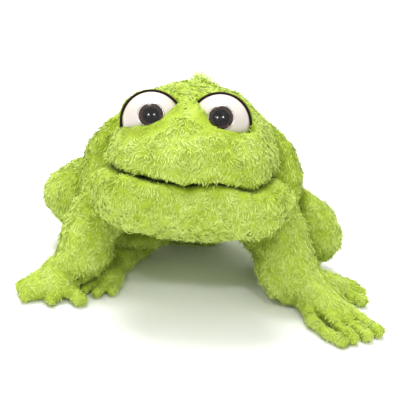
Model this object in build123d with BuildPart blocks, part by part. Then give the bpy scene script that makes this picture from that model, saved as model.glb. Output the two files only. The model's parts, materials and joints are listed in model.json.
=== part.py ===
"""A sitting frog hand puppet in plush: a hand goes in at the rear cuff, through a lined sleeve,
four fingers into the pocket over the palate board and the thumb into the pocket under the jaw board.

Frame: millimetres, +Z up, the puppet looks along -Y, its own left is +X. The origin is the centre
of the flat seat panel, on the floor.
"""

import os
from math import asin, cos, radians, sin

from build123d import *

os.makedirs("parts", exist_ok=True)

# ---------------------------------------------------------------- driving dimensions
SIDES = {"left": 1, "right": -1}

# How a block or a cylinder lies on its plane.
UP_BLOCK = (Align.CENTER, Align.CENTER, Align.MIN)
DOWN_BLOCK = (Align.CENTER, Align.CENTER, Align.MAX)
BACK_BLOCK = (Align.CENTER, Align.MIN, Align.CENTER)

FABRIC = 4.0  # plush cloth with its pile pressed
FIT = 0.3  # gap between a cover and what fills it
LINING = 1.2  # felt and lining cloth

# The head, the jaw and the torso's socket are all round this one point.
NECK = Vector(0, -105, 122)
HEAD_TILT = 14.0  # the mouth plane rises towards the lips, degrees
BALL_R = 75.0
SOCKET_R = 76.0

SLEEVE_SLOPE = 25.0  # the sleeve runs down to the rear, degrees
SLEEVE_R = 44.0
CUFF_R = 46.0
CUFF_WALL = 6.0
CUFF_START, CUFF_END = 149.0, 167.0

SEAT_THICK = 3.0
SEAT_X, SEAT_Y = 30.0, 9.0

HEAD_PLANE = Plane(
    origin=NECK,
    x_dir=(1, 0, 0),
    z_dir=(0, sin(radians(HEAD_TILT)), cos(radians(HEAD_TILT))),
)
SLEEVE_DIR = Vector(0, cos(radians(SLEEVE_SLOPE)), -sin(radians(SLEEVE_SLOPE)))
SLEEVE_PLANE = Plane(origin=NECK, x_dir=(1, 0, 0), z_dir=SLEEVE_DIR)

# Along the sleeve from the neck: distance, half width, half height, drop of the section's centre.
TORSO_SECTIONS = [
    (32, 94, 65, 0),
    (62, 100, 65, 0),
    (98, 97, 63, 0),
    (130, 83, 63, 2),
    (154, 58, 65, 9),
]
TORSO_END = TORSO_SECTIONS[-1][0]

# The muzzle and the chin are rolls ahead of the ball: half width, radius, centre ahead, centre up.
MUZZLE = (82.0, 53.0, 40.0, 2.0)
CHIN = (91.0, 46.0, 45.0, -6.0)
HEAD_REAR = 45.0  # the head's cloth ends this far behind the neck point
JAW_REAR = 30.0
MOUTH_GAP = 0.3
JAW_OPENS = 30.0  # the head is cut back this far behind the hinge, so that the jaw clears it

BOARD = 1.8
BOARD_WIDTH, BOARD_FRONT = 66.0, 82.0
FOLD_R = 2.2
FINGER_POCKET = (94.0, 70.0, 22.0)  # outside width, depth, height
THUMB_POCKET = (38.0, 58.0, 27.0)
POCKET_CORNER = 16.0
POCKET_REAR = 6.0
POCKET_CLOTH = 1.0
PALM_WIDTH, PALM_UP, PALM_DOWN = 98.0, 29.0, 20.0

EYE_R, EYE_WALL = 25.0, 2.2
EYE_SHIFT, EYE_HALF_GAP = -9.0, 29.6
EYE_AHEAD = 46.0  # in the head's own plane
EYE_UP = {1: 44.5, -1: 41.5}  # the two sit a little unevenly
EYE_FLOOR = 30.5  # the globes are cut off flat over the finger pocket
GAZE_UP = 31.0
IRIS_R, PUPIL_R = 10.4, 6.9
IRIS_FLOOR, IRIS_THICK, PUPIL_THICK = 20.7, 0.8, 0.6
PRINT_GAP = 0.15  # round the iris and under the lens
LENS_FLOOR = IRIS_FLOOR + IRIS_THICK + PUPIL_THICK + PRINT_GAP
STEM_R, STEM_LENGTH = 3.0, 6.0
WASHER_R, WASHER_THICK = 6.0, 1.5
RIM_R = 1.15
RIM_ARC, RIM_DROP = 158.0, 17.0  # it starts this far below level at the outer side
HOOD_CLOTH = 3.0

LIMB_CLOTH = 2.5
SHOULDER = (90.0, -103.0, 56.0)
SHOULDER_R, ARM_END_R = 24.0, 19.0
WRIST_R = 17.5
CUP_GAP = 0.5
WRIST = {"left": (118.0, -127.0, 22.0), "right": (100.0, -126.0, 30.0)}
HAND_YAW = {"left": 50.0, "right": 62.0}  # outward from straight ahead
PALM_REACH, PALM_R = 20.0, 14.0
FINGER = (4.5, 6.4)  # radius at the root and at the tip
FINGER_LENGTH = {"left": 34.0, "right": 22.0}
FINGER_FAN = {"left": (-28.0, -4.0, 18.0, 42.0), "right": (-95.0, -45.0, 0.0, 38.0)}

HAUNCH = {"left": (121.0, -37.0, 46.0), "right": (124.0, -23.0, 52.0)}
HAUNCH_R, THIGH_R, SHANK_R = 30.0, 16.0, 12.0
SHANK_LIFT = 15.0  # the shank's end is this far over the ankle's centre
ANKLE = {"left": (80.0, -61.0, 12.2), "right": (66.0, -63.0, 12.2)}
ANKLE_R = 12.0
HEEL = {"left": (64.0, -38.0, 9.7), "right": (42.0, -38.0, 9.7)}
HEEL_R = 9.5
FOOT_YAW = {"left": 66.0, "right": 8.0}
FOOT_LENGTH = {"left": 62.0, "right": 48.0}
SOLE_R = 9.5
TOE = (3.4, 5.4)
TOE_LENGTH = 27.0
TOE_FAN = (-36.0, -12.0, 12.0, 36.0)
ON_FLOOR = 0.2


def save(part, name):
    part.label = name
    export_step(part, f"parts/{name}.step")


def local(plane, x, y, z):
    """A plane parallel to plane, with its origin at that plane's own x, y, z."""
    return Plane(
        origin=plane.from_local_coords(Vector(x, y, z)),
        x_dir=plane.x_dir,
        z_dir=plane.z_dir,
    )


def ball(centre, radius):
    with BuildPart(Plane(origin=centre)) as sphere:
        Sphere(radius)
    return sphere.part


def block(plane, width, depth, height, align):
    with BuildPart(plane) as box:
        Box(width, depth, height, align=align)
    return box.part


def rod(start, end, radius, end_radius):
    """A stuffed limb: a cone from start to end, round at both ends."""
    start, end = Vector(start), Vector(end)
    length = (end - start).length
    along = (end - start).normalized()
    out = Plane(origin=start, z_dir=along).x_dir
    slope = asin((radius - end_radius) / length)
    low = (slope - radians(90)) / 2
    high = (slope + radians(90)) / 2
    first = (radius * cos(slope), radius * sin(slope))
    last = (end_radius * cos(slope), length + end_radius * sin(slope))
    with BuildPart() as limb:
        with BuildSketch(Plane(origin=start, x_dir=out, z_dir=out.cross(along))):
            with BuildLine():
                ThreePointArc((0, -radius), (radius * cos(low), radius * sin(low)), first)
                Line(first, last)
                ThreePointArc(
                    last,
                    (end_radius * cos(high), length + end_radius * sin(high)),
                    (0, length + end_radius),
                )
                Line((0, length + end_radius), (0, -radius))
            make_face()
        revolve(axis=Axis(start, along))
    return limb.part


def barrel(plane, half_width, radius):
    """A roll that lies across, along plane's x, round at both ends."""
    reach = half_width - radius
    return rod(
        plane.from_local_coords(Vector(-reach, 0, 0)),
        plane.from_local_coords(Vector(reach, 0, 0)),
        radius,
        radius,
    )


def on_side(point, side):
    return Vector(side * point[0], point[1], point[2])


def heading(yaw, side):
    """Straight ahead, turned outward by yaw."""
    return Vector(side * sin(radians(yaw)), -cos(radians(yaw)), 0)


# ---------------------------------------------------------------- torso
def torso_solid(inset):
    """The torso's closed form, inset from its cloth's outside."""
    with BuildPart() as form:
        for distance, width, height, drop in TORSO_SECTIONS:
            along = distance - (inset if distance == TORSO_END else 0)
            with BuildSketch(local(SLEEVE_PLANE, 0, drop, along)):
                Ellipse(width - inset, height - inset)
        loft()
        add(ball(NECK, SOCKET_R), mode=Mode.SUBTRACT)
        add(block(Plane.XY.offset(SEAT_THICK + inset), 400, 400, 60, DOWN_BLOCK), mode=Mode.SUBTRACT)
    return form.part


def sleeve_cylinder(radius, start, end):
    with BuildPart(SLEEVE_PLANE.offset(start)) as core:
        Cylinder(radius, end - start, align=UP_BLOCK)
    return core.part


with BuildPart() as torso_cover:
    add(torso_solid(0))
    add(torso_solid(FABRIC), mode=Mode.SUBTRACT)
    add(sleeve_cylinder(CUFF_R + CUFF_WALL + FIT, 30, 200), mode=Mode.SUBTRACT)
save(torso_cover.part, "torso_cover")

with BuildPart() as torso_stuffing:
    add(torso_solid(FABRIC + FIT))
    add(sleeve_cylinder(SLEEVE_R + LINING + FIT, 0, 200), mode=Mode.SUBTRACT)
    add(sleeve_cylinder(CUFF_R + CUFF_WALL + FIT, CUFF_START - FIT, 200), mode=Mode.SUBTRACT)
save(torso_stuffing.part, "torso_stuffing")

with BuildPart() as hand_sleeve:
    add(sleeve_cylinder(SLEEVE_R + LINING, 30, CUFF_START - FIT))
    add(sleeve_cylinder(SLEEVE_R, 0, 200), mode=Mode.SUBTRACT)
    add(ball(NECK, SOCKET_R), mode=Mode.SUBTRACT)
save(hand_sleeve.part, "hand_sleeve")

ELASTIC_R = 1.6
CUFF_ROUND = 2.4
CUFF_MID_R = CUFF_R + CUFF_WALL / 2


def elastic_ring(radius):
    with BuildPart(SLEEVE_PLANE.offset((CUFF_START + CUFF_END) / 2)) as ring:
        Torus(CUFF_MID_R, radius)
    return ring.part


with BuildPart() as cuff_hem:
    add(sleeve_cylinder(CUFF_R + CUFF_WALL, CUFF_START, CUFF_END))
    add(sleeve_cylinder(CUFF_R, 0, 200), mode=Mode.SUBTRACT)
    rear_face = cuff_hem.faces().sort_by(Axis(NECK, SLEEVE_DIR))[-1]
    fillet(rear_face.edges().sort_by(SortBy.RADIUS)[-1], CUFF_ROUND)
    add(elastic_ring(ELASTIC_R + FIT), mode=Mode.SUBTRACT)
save(cuff_hem.part, "cuff_hem")

with BuildPart() as cuff_elastic:
    add(elastic_ring(ELASTIC_R))
save(cuff_elastic.part, "cuff_elastic")

with BuildPart() as seat_panel:
    with BuildSketch():
        Ellipse(SEAT_X, SEAT_Y)
    extrude(amount=SEAT_THICK - FIT)
save(seat_panel.part, "seat_panel")


# ---------------------------------------------------------------- head and jaw
def head_solid(inset, bulge):
    """Ball and bulge together, both halves."""
    half, radius, ahead, up = bulge
    with BuildPart() as form:
        add(ball(NECK, BALL_R - inset))
        add(barrel(local(HEAD_PLANE, 0, -ahead, up), half - inset, radius - inset))
    return form.part


def head_shell(bulge):
    """The cloth alone, both halves."""
    with BuildPart() as form:
        add(head_solid(0, bulge))
        add(head_solid(FABRIC, bulge), mode=Mode.SUBTRACT)
    return form.part


def upper_half(solid, lift):
    """What of solid is over the mouth plane, and over the wedge that the jaw's rear turns into."""
    wedge = Plane(
        origin=NECK,
        x_dir=(1, 0, 0),
        z_dir=(0, sin(radians(HEAD_TILT - JAW_OPENS)), cos(radians(HEAD_TILT - JAW_OPENS))),
    )
    with BuildPart() as half:
        add(solid)
        add(block(local(HEAD_PLANE, 0, 0, lift), 400, 400, 200, DOWN_BLOCK), mode=Mode.SUBTRACT)
        add(block(local(wedge, 0, 100, lift), 400, 200, 100, DOWN_BLOCK), mode=Mode.SUBTRACT)
        add(block(local(HEAD_PLANE, 0, HEAD_REAR, 0), 400, 200, 400, BACK_BLOCK), mode=Mode.SUBTRACT)
    return half.part


def lower_half(solid, drop):
    with BuildPart() as half:
        add(solid)
        add(block(local(HEAD_PLANE, 0, 0, -drop), 400, 400, 200, UP_BLOCK), mode=Mode.SUBTRACT)
        add(block(local(HEAD_PLANE, 0, JAW_REAR, 0), 400, 200, 400, BACK_BLOCK), mode=Mode.SUBTRACT)
    return half.part


def mouth_sheet(bottom, thick, inset):
    """A board or a felt of the mouth: a half oval from the fold to the lips."""
    with BuildPart() as sheet:
        with BuildSketch(local(HEAD_PLANE, 0, -FOLD_R - 0.6, bottom)):
            Ellipse(BOARD_WIDTH - inset, BOARD_FRONT - inset)
            Rectangle(2 * BOARD_WIDTH, BOARD_FRONT, align=(Align.CENTER, Align.MIN), mode=Mode.SUBTRACT)
        extrude(amount=thick)
    return sheet.part


def pocket(size, bottom, grow):
    """A cloth pocket's outside, grown all round, open at the rear."""
    width, depth, height = size
    rear = max(0, -20 * grow)
    with BuildPart() as form:
        with BuildSketch(local(HEAD_PLANE, 0, -POCKET_REAR, bottom - grow)):
            with Locations((0, (rear - depth - grow) / 2)):
                RectangleRounded(width + 2 * grow, depth + grow + rear, POCKET_CORNER + grow)
        extrude(amount=height + 2 * grow)
    return form.part


def palm_channel():
    """The room that the palm takes behind the fold."""
    mid = (PALM_UP - PALM_DOWN) / 2
    with BuildPart(local(HEAD_PLANE, 0, -POCKET_REAR - 1, mid)) as room:
        Box(PALM_WIDTH, 200, PALM_UP + PALM_DOWN, align=BACK_BLOCK)
    return room.part


def fold_cord(radius):
    """The piping along the fold, where the two boards meet."""
    with BuildPart(Plane(origin=NECK, z_dir=(1, 0, 0))) as cord:
        Cylinder(radius, 2 * BOARD_WIDTH - 20)
    return cord.part


LINING_BOTTOM = MOUTH_GAP
BOARD_BOTTOM = LINING_BOTTOM + LINING + 0.1
POCKET_BOTTOM = BOARD_BOTTOM + BOARD + 0.1
THUMB_BOTTOM = -POCKET_BOTTOM - THUMB_POCKET[2]


def eye_plane(side):
    centre = HEAD_PLANE.from_local_coords(Vector(EYE_SHIFT + side * EYE_HALF_GAP, -EYE_AHEAD, EYE_UP[side]))
    gaze = (0, -cos(radians(GAZE_UP)), sin(radians(GAZE_UP)))
    return Plane(origin=centre, x_dir=(1, 0, 0), z_dir=gaze)


def eye_globe(side, slack):
    """The globe with its flat underside, grown by slack."""
    plane = eye_plane(side)
    with BuildPart() as globe:
        add(ball(plane.origin, EYE_R + slack))
        add(
            block(local(HEAD_PLANE, 0, 0, EYE_FLOOR - slack), 400, 400, 100, DOWN_BLOCK),
            mode=Mode.SUBTRACT,
        )
    return globe.part


def eye_hollow(side):
    """The air inside the moulded globe."""
    plane = eye_plane(side)
    with BuildPart() as air:
        add(ball(plane.origin, EYE_R - EYE_WALL))
        add(
            block(local(HEAD_PLANE, 0, 0, EYE_FLOOR + EYE_WALL), 400, 400, 100, DOWN_BLOCK),
            mode=Mode.SUBTRACT,
        )
        add(block(plane.offset(IRIS_FLOOR - EYE_WALL), 90, 90, 30, UP_BLOCK), mode=Mode.SUBTRACT)
    return air.part


def eye_disc(side, radius, start, height):
    with BuildPart(eye_plane(side).offset(start)) as disc:
        Cylinder(radius, height, align=UP_BLOCK)
    return disc.part


def eye_stem(side, radius, length):
    return eye_disc(side, radius, -EYE_R - length, length + 2)


def eye_piping(name, radius):
    """The dark piping that is sewn round the upper and outer edge of the globe."""
    socket = eye_plane(SIDES[name])
    first = radians(-RIM_DROP if name == "left" else RIM_DROP + 180 - RIM_ARC)
    toward = socket.x_dir * cos(first) + socket.y_dir * sin(first)
    centre = socket.offset(RIM_R).origin
    with BuildPart(Plane(origin=centre, x_dir=toward, z_dir=socket.z_dir)) as piping:
        Torus(EYE_R + FIT + RIM_R, radius, major_angle=RIM_ARC, align=None)
    return piping.part


def eye_room(name, slack):
    """Where the head gives way to the globe, its stem, its washer and its piping."""
    side = SIDES[name]
    with BuildPart() as room:
        add(eye_globe(side, slack))
        add(eye_stem(side, WASHER_R + slack, STEM_LENGTH + slack))
        add(eye_piping(name, RIM_R + slack))
    return room.part


with BuildPart() as head_cover:
    add(upper_half(head_shell(MUZZLE), MOUTH_GAP))
    for name in SIDES:
        add(eye_room(name, FIT), mode=Mode.SUBTRACT)
save(head_cover.part, "head_cover")

with BuildPart() as head_foam:
    add(upper_half(head_solid(FABRIC + FIT, MUZZLE), MOUTH_GAP))
    add(mouth_sheet(0, POCKET_BOTTOM, -0.4), mode=Mode.SUBTRACT)
    add(pocket(FINGER_POCKET, POCKET_BOTTOM, 0.1), mode=Mode.SUBTRACT)
    add(fold_cord(FOLD_R + FIT), mode=Mode.SUBTRACT)
    add(palm_channel(), mode=Mode.SUBTRACT)
    for name in SIDES:
        add(eye_room(name, FIT), mode=Mode.SUBTRACT)
save(head_foam.part, "head_foam")

with BuildPart() as palate_lining:
    add(mouth_sheet(LINING_BOTTOM, LINING, 0))
save(palate_lining.part, "palate_lining")

with BuildPart() as palate_board:
    add(mouth_sheet(BOARD_BOTTOM, BOARD, 1))
save(palate_board.part, "palate_board")

with BuildPart() as finger_pocket:
    add(pocket(FINGER_POCKET, POCKET_BOTTOM, 0))
    add(pocket(FINGER_POCKET, POCKET_BOTTOM, -POCKET_CLOTH), mode=Mode.SUBTRACT)
save(finger_pocket.part, "finger_pocket")

with BuildPart() as mouth_fold_cord:
    add(fold_cord(FOLD_R))
save(mouth_fold_cord.part, "mouth_fold_cord")

with BuildPart() as jaw_cover:
    add(lower_half(head_shell(CHIN), MOUTH_GAP))
save(jaw_cover.part, "jaw_cover")

with BuildPart() as jaw_foam:
    add(lower_half(head_solid(FABRIC + FIT, CHIN), MOUTH_GAP))
    add(mouth_sheet(-POCKET_BOTTOM, POCKET_BOTTOM, -0.4), mode=Mode.SUBTRACT)
    add(pocket(THUMB_POCKET, THUMB_BOTTOM, 0.1), mode=Mode.SUBTRACT)
    add(fold_cord(FOLD_R + FIT), mode=Mode.SUBTRACT)
    add(palm_channel(), mode=Mode.SUBTRACT)
save(jaw_foam.part, "jaw_foam")

with BuildPart() as jaw_lining:
    add(mouth_sheet(-LINING_BOTTOM - LINING, LINING, 0))
save(jaw_lining.part, "jaw_lining")

with BuildPart() as jaw_board:
    add(mouth_sheet(-BOARD_BOTTOM - BOARD, BOARD, 1))
save(jaw_board.part, "jaw_board")

with BuildPart() as thumb_pocket:
    add(pocket(THUMB_POCKET, THUMB_BOTTOM, 0))
    add(pocket(THUMB_POCKET, THUMB_BOTTOM, -POCKET_CLOTH), mode=Mode.SUBTRACT)
save(thumb_pocket.part, "thumb_pocket")


# ---------------------------------------------------------------- eyes
for name, side in SIDES.items():
    socket = eye_plane(side)

    with BuildPart() as globe:
        add(eye_globe(side, 0))
        add(eye_hollow(side), mode=Mode.SUBTRACT)
        add(eye_stem(side, STEM_R, STEM_LENGTH))
        add(eye_disc(side, IRIS_R, IRIS_FLOOR, 20), mode=Mode.SUBTRACT)
    save(globe.part, f"{name}_eye_globe")

    with BuildPart() as iris:
        add(eye_disc(side, IRIS_R - PRINT_GAP, IRIS_FLOOR + 0.05, IRIS_THICK))
    save(iris.part, f"{name}_eye_iris")

    with BuildPart() as pupil:
        add(eye_disc(side, PUPIL_R, IRIS_FLOOR + IRIS_THICK + 0.1, PUPIL_THICK))
    save(pupil.part, f"{name}_eye_pupil")

    with BuildPart() as lens:
        add(ball(socket.origin, EYE_R))
        add(eye_disc(side, IRIS_R - PRINT_GAP, LENS_FLOOR, 20), mode=Mode.INTERSECT)
    save(lens.part, f"{name}_eye_lens")

    with BuildPart(socket.offset(-EYE_R - STEM_LENGTH + 1)) as washer:
        Cylinder(WASHER_R, WASHER_THICK, align=UP_BLOCK)
        Cylinder(STEM_R + 0.1, 20, mode=Mode.SUBTRACT)
    save(washer.part, f"{name}_eye_washer")

    with BuildPart() as hood:
        add(ball(socket.origin, EYE_R + FIT + HOOD_CLOTH))
        add(ball(socket.origin, EYE_R + FIT), mode=Mode.SUBTRACT)
        add(block(socket.offset(-1), 200, 200, 100, UP_BLOCK), mode=Mode.SUBTRACT)
        add(ball(NECK, BALL_R + FIT), mode=Mode.SUBTRACT)
        half, radius, ahead, up = MUZZLE
        add(barrel(local(HEAD_PLANE, 0, -ahead, up), half + FIT, radius + FIT), mode=Mode.SUBTRACT)
        beside = Plane(origin=(EYE_SHIFT + side * 0.2, 0, 0), z_dir=(side, 0, 0))
        add(block(beside, 900, 900, 90, DOWN_BLOCK), mode=Mode.SUBTRACT)
    save(hood.part, f"{name}_eye_hood")

    with BuildPart() as rim:
        add(eye_piping(name, RIM_R))
    save(rim.part, f"{name}_eye_rim")


# ---------------------------------------------------------------- arms and hands
def arm_solid(name, side, inset):
    """Shoulder to wrist, with a cup at its end for the ball of the hand."""
    shoulder, wrist = on_side(SHOULDER, side), on_side(WRIST[name], side)
    along = (wrist - shoulder).normalized()
    with BuildPart() as arm:
        add(rod(shoulder, wrist, SHOULDER_R - inset, ARM_END_R - inset))
        add(
            block(Plane(origin=wrist - along * (4 + inset), z_dir=along), 90, 90, 60, UP_BLOCK),
            mode=Mode.SUBTRACT,
        )
        add(ball(wrist, WRIST_R + CUP_GAP + inset), mode=Mode.SUBTRACT)
    return arm.part


def palm_centre(name, side):
    wrist = on_side(WRIST[name], side)
    palm = wrist + heading(HAND_YAW[name], side) * PALM_REACH
    return Vector(palm.X, palm.Y, PALM_R + ON_FLOOR)


def hand_solid(name, side, inset):
    return rod(on_side(WRIST[name], side), palm_centre(name, side), WRIST_R - inset, PALM_R - inset)


def digits(centre, yaw, side, fan, tube, start, length):
    """Stuffed tubes that fan out from a palm or a sole, with their tips on the floor."""
    root_r, tip_r = tube
    with BuildPart() as tubes:
        for turn in fan:
            out = heading(yaw + turn, side)
            root = centre + out * start
            tip = root + out * length
            tip = Vector(tip.X, tip.Y, tip_r + ON_FLOOR)
            add(rod(root, tip, root_r, tip_r))
    return tubes.part


# ---------------------------------------------------------------- legs and feet
def leg_solid(name, side, inset):
    """The haunch and the shank, cut off level over the foot."""
    haunch, ankle = on_side(HAUNCH[name], side), on_side(ANKLE[name], side)
    with BuildPart() as leg:
        add(ball(haunch, HAUNCH_R - inset))
        add(rod(haunch, ankle + Vector(0, 0, SHANK_LIFT), THIGH_R - inset, SHANK_R - inset))
        add(
            block(Plane(origin=ankle + Vector(0, 0, ANKLE_R + CUP_GAP + inset)), 44, 44, 60, DOWN_BLOCK),
            mode=Mode.SUBTRACT,
        )
    return leg.part


def sole_centre(name, side):
    sole = on_side(ANKLE[name], side) + heading(FOOT_YAW[name], side) * FOOT_LENGTH[name]
    return Vector(sole.X, sole.Y, SOLE_R + ON_FLOOR)


def foot_solid(name, side, inset):
    """A long flat foot: from the ankle forward to the toes, and back to the heel."""
    ankle, heel = on_side(ANKLE[name], side), on_side(HEEL[name], side)
    with BuildPart() as foot:
        add(rod(ankle, sole_centre(name, side), ANKLE_R - inset, SOLE_R - inset))
        add(rod(ankle, heel, ANKLE_R - inset, HEEL_R - inset))
    return foot.part


LIMBS = {
    "arm": (arm_solid, "stuffing"),
    "hand": (hand_solid, "pellets"),
    "leg": (leg_solid, "stuffing"),
    "foot": (foot_solid, "pellets"),
}

for name, side in SIDES.items():
    for limb, (solid, fill_name) in LIMBS.items():
        with BuildPart() as cover:
            add(solid(name, side, 0))
            add(solid(name, side, LIMB_CLOTH), mode=Mode.SUBTRACT)
        save(cover.part, f"{name}_{limb}_cover")

        with BuildPart() as fill:
            add(solid(name, side, LIMB_CLOTH + FIT))
        save(fill.part, f"{name}_{limb}_{fill_name}")

    palm = palm_centre(name, side)
    with BuildPart() as fingers:
        add(digits(palm, HAND_YAW[name], side, FINGER_FAN[name], FINGER, 4, FINGER_LENGTH[name]))
        add(hand_solid(name, side, -0.1), mode=Mode.SUBTRACT)
    save(fingers.part, f"{name}_fingers")

    sole = sole_centre(name, side)
    with BuildPart() as toes:
        add(digits(sole, FOOT_YAW[name], side, TOE_FAN, TOE, 3, TOE_LENGTH))
        add(foot_solid(name, side, -0.1), mode=Mode.SUBTRACT)
    save(toes.part, f"{name}_toes")
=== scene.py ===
"""Looks of the frog hand puppet: furred skins over the CAD frame, its eyes, its mouth, and the studio.

Shapes are worked out in millimetres in the frame's own axes, and scaled when a mesh is made.
"""

import json
from math import cos, pi, radians, sin

import bpy
import numpy as np
from mathutils import Matrix, Vector


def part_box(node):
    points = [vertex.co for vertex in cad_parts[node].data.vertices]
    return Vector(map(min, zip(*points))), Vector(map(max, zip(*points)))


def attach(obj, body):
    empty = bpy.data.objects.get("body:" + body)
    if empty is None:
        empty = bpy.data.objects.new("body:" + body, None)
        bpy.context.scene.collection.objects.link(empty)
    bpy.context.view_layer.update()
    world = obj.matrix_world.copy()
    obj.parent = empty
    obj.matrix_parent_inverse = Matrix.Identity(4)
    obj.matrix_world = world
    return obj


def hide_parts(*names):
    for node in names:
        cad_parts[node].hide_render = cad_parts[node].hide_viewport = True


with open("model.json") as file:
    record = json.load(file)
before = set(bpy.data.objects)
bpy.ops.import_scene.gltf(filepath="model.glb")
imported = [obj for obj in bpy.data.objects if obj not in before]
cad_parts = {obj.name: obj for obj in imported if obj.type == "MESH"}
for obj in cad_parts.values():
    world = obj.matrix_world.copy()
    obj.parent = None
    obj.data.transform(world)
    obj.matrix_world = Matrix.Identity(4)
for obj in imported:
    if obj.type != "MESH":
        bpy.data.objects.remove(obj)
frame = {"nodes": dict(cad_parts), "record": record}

MM = 0.001
SIDES = ("left", "right")
ACROSS = np.array((1.0, 0.0, 0.0))
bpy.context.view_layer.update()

# ---------------------------------------------------------------- places, in millimetres
JOINT_AT = {j["name"]: np.array(j["pos_m"]) / MM for j in frame["record"]["behaviour"]["joints"]}
NECK = JOINT_AT["head_nod"]
HEAD_TILT = radians(14)
SLEEVE_SLOPE = radians(25)
CAMERA_RISE = radians(22)
GAZE_UP = radians(31)

SLEEVE = np.array((0, cos(SLEEVE_SLOPE), -sin(SLEEVE_SLOPE)))  # from the neck back to the cuff
SLEEVE_DOWN = np.array((0, -sin(SLEEVE_SLOPE), -cos(SLEEVE_SLOPE)))
SCREEN_UP = np.array((0, sin(CAMERA_RISE), cos(CAMERA_RISE)))  # up in the photograph
GAZE = np.array((0, -cos(GAZE_UP), sin(GAZE_UP)))  # the way that the eyes look

FLOOR = 0.0
LOWEST_CLOTH = FLOOR + 0.2


def on_head(x, y, z):
    """A point given along the mouth plane: x across, y back, z up."""
    back = np.array((0, cos(HEAD_TILT), -sin(HEAD_TILT)))
    up = np.array((0, sin(HEAD_TILT), cos(HEAD_TILT)))
    return NECK + np.array((x, 0, 0)) + y * back + z * up


def head_local(p):
    """Points in the mouth plane's own axes."""
    q = p - NECK
    return np.stack(
        (
            q[:, 0],
            q[:, 1] * cos(HEAD_TILT) - q[:, 2] * sin(HEAD_TILT),
            q[:, 1] * sin(HEAD_TILT) + q[:, 2] * cos(HEAD_TILT),
        ),
        1,
    )


def box_centre(node):
    """The middle of a CAD node's box, in millimetres."""
    low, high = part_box(node)
    return (np.array(low) + np.array(high)) / 2 / MM


EYE_R = 25.0
IRIS_DEPTH = 21.1  # from the globe's centre to its printed iris
EYES = {side: box_centre(f"{side}_eye_iris") - GAZE * IRIS_DEPTH for side in SIDES}

# Balls about the neck, so that head and jaw turn inside the torso
SKULL_R = 76.0
BOWL_R = 74.5  # the jaw's
HOLLOW_R = 78.5  # the torso's
LINING_START_R = 81.0  # where the sleeve's lining begins

# The sleeve, by its distance from the neck and its radii
LINING_R = 44.05
LINING_OUTER_R = 44.75
TORSO_BORE_R = 46.4
PILE_START_R = 50.0  # no pile grows closer to the sleeve's axis
CUFF_SEAT_R = 52.4  # the torso's step that the cuff sits in
CUFF_SEAT_START = 148.6
TORSO_START = 20.0
TORSO_END = 158.0


# ---------------------------------------------------------------- distance fields
def ball(p, centre, radius):
    """How far each point lies outside a ball; like every field here, negative inside."""
    return np.linalg.norm(p - np.asarray(centre, float), axis=1) - radius


def limb(p, start, end, radius, end_radius):
    """A round bar from start to end, its radius changing on the way."""
    start, end = np.asarray(start, float), np.asarray(end, float)
    run = end - start
    t = np.clip((p - start) @ run / (run @ run), 0, 1)
    return np.linalg.norm(p - start - t[:, None] * run, axis=1) - (radius + t * (end_radius - radius))


def chain(p, points, soft):
    """Limbs through points of (x, y, z, radius), melted into each other."""
    field = None
    for a, b in zip(points, points[1:]):
        part = limb(p, a[:3], b[:3], a[3], b[3])
        field = part if field is None else melt(field, part, soft)
    return field


def egg(p, centre, radii, turn=0.0):
    """An ellipsoid turned about the vertical."""
    q = p - np.asarray(centre, float)
    c, s = cos(turn), sin(turn)
    q = np.stack((q[:, 0] * c + q[:, 1] * s, -q[:, 0] * s + q[:, 1] * c, q[:, 2]), 1)
    radii = np.asarray(radii, float)
    near = np.linalg.norm(q / radii, axis=1)
    slope = np.linalg.norm(q / radii**2, axis=1)
    return near * (near - 1) / np.maximum(slope, 1e-9)


def melt(a, b, soft):
    """Union with a fillet."""
    mix = np.clip(0.5 + 0.5 * (b - a) / soft, 0, 1)
    return b + (a - b) * mix - soft * mix * (1 - mix)


def both(a, b, soft):
    """Intersection with a rounded edge."""
    return -melt(-a, -b, soft)


def waves(p, length, seed, count=9):
    """Smooth noise of about unit size, from waves in random directions."""
    rng = np.random.default_rng(seed)
    way = rng.normal(size=(count, 3))
    way *= (rng.uniform(0.7, 1.5, count) * 2 * pi / length / np.linalg.norm(way, axis=1))[:, None]
    return np.sin(p @ way.T + rng.uniform(0, 2 * pi, count)).sum(1) * (2 / count) ** 0.5


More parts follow.
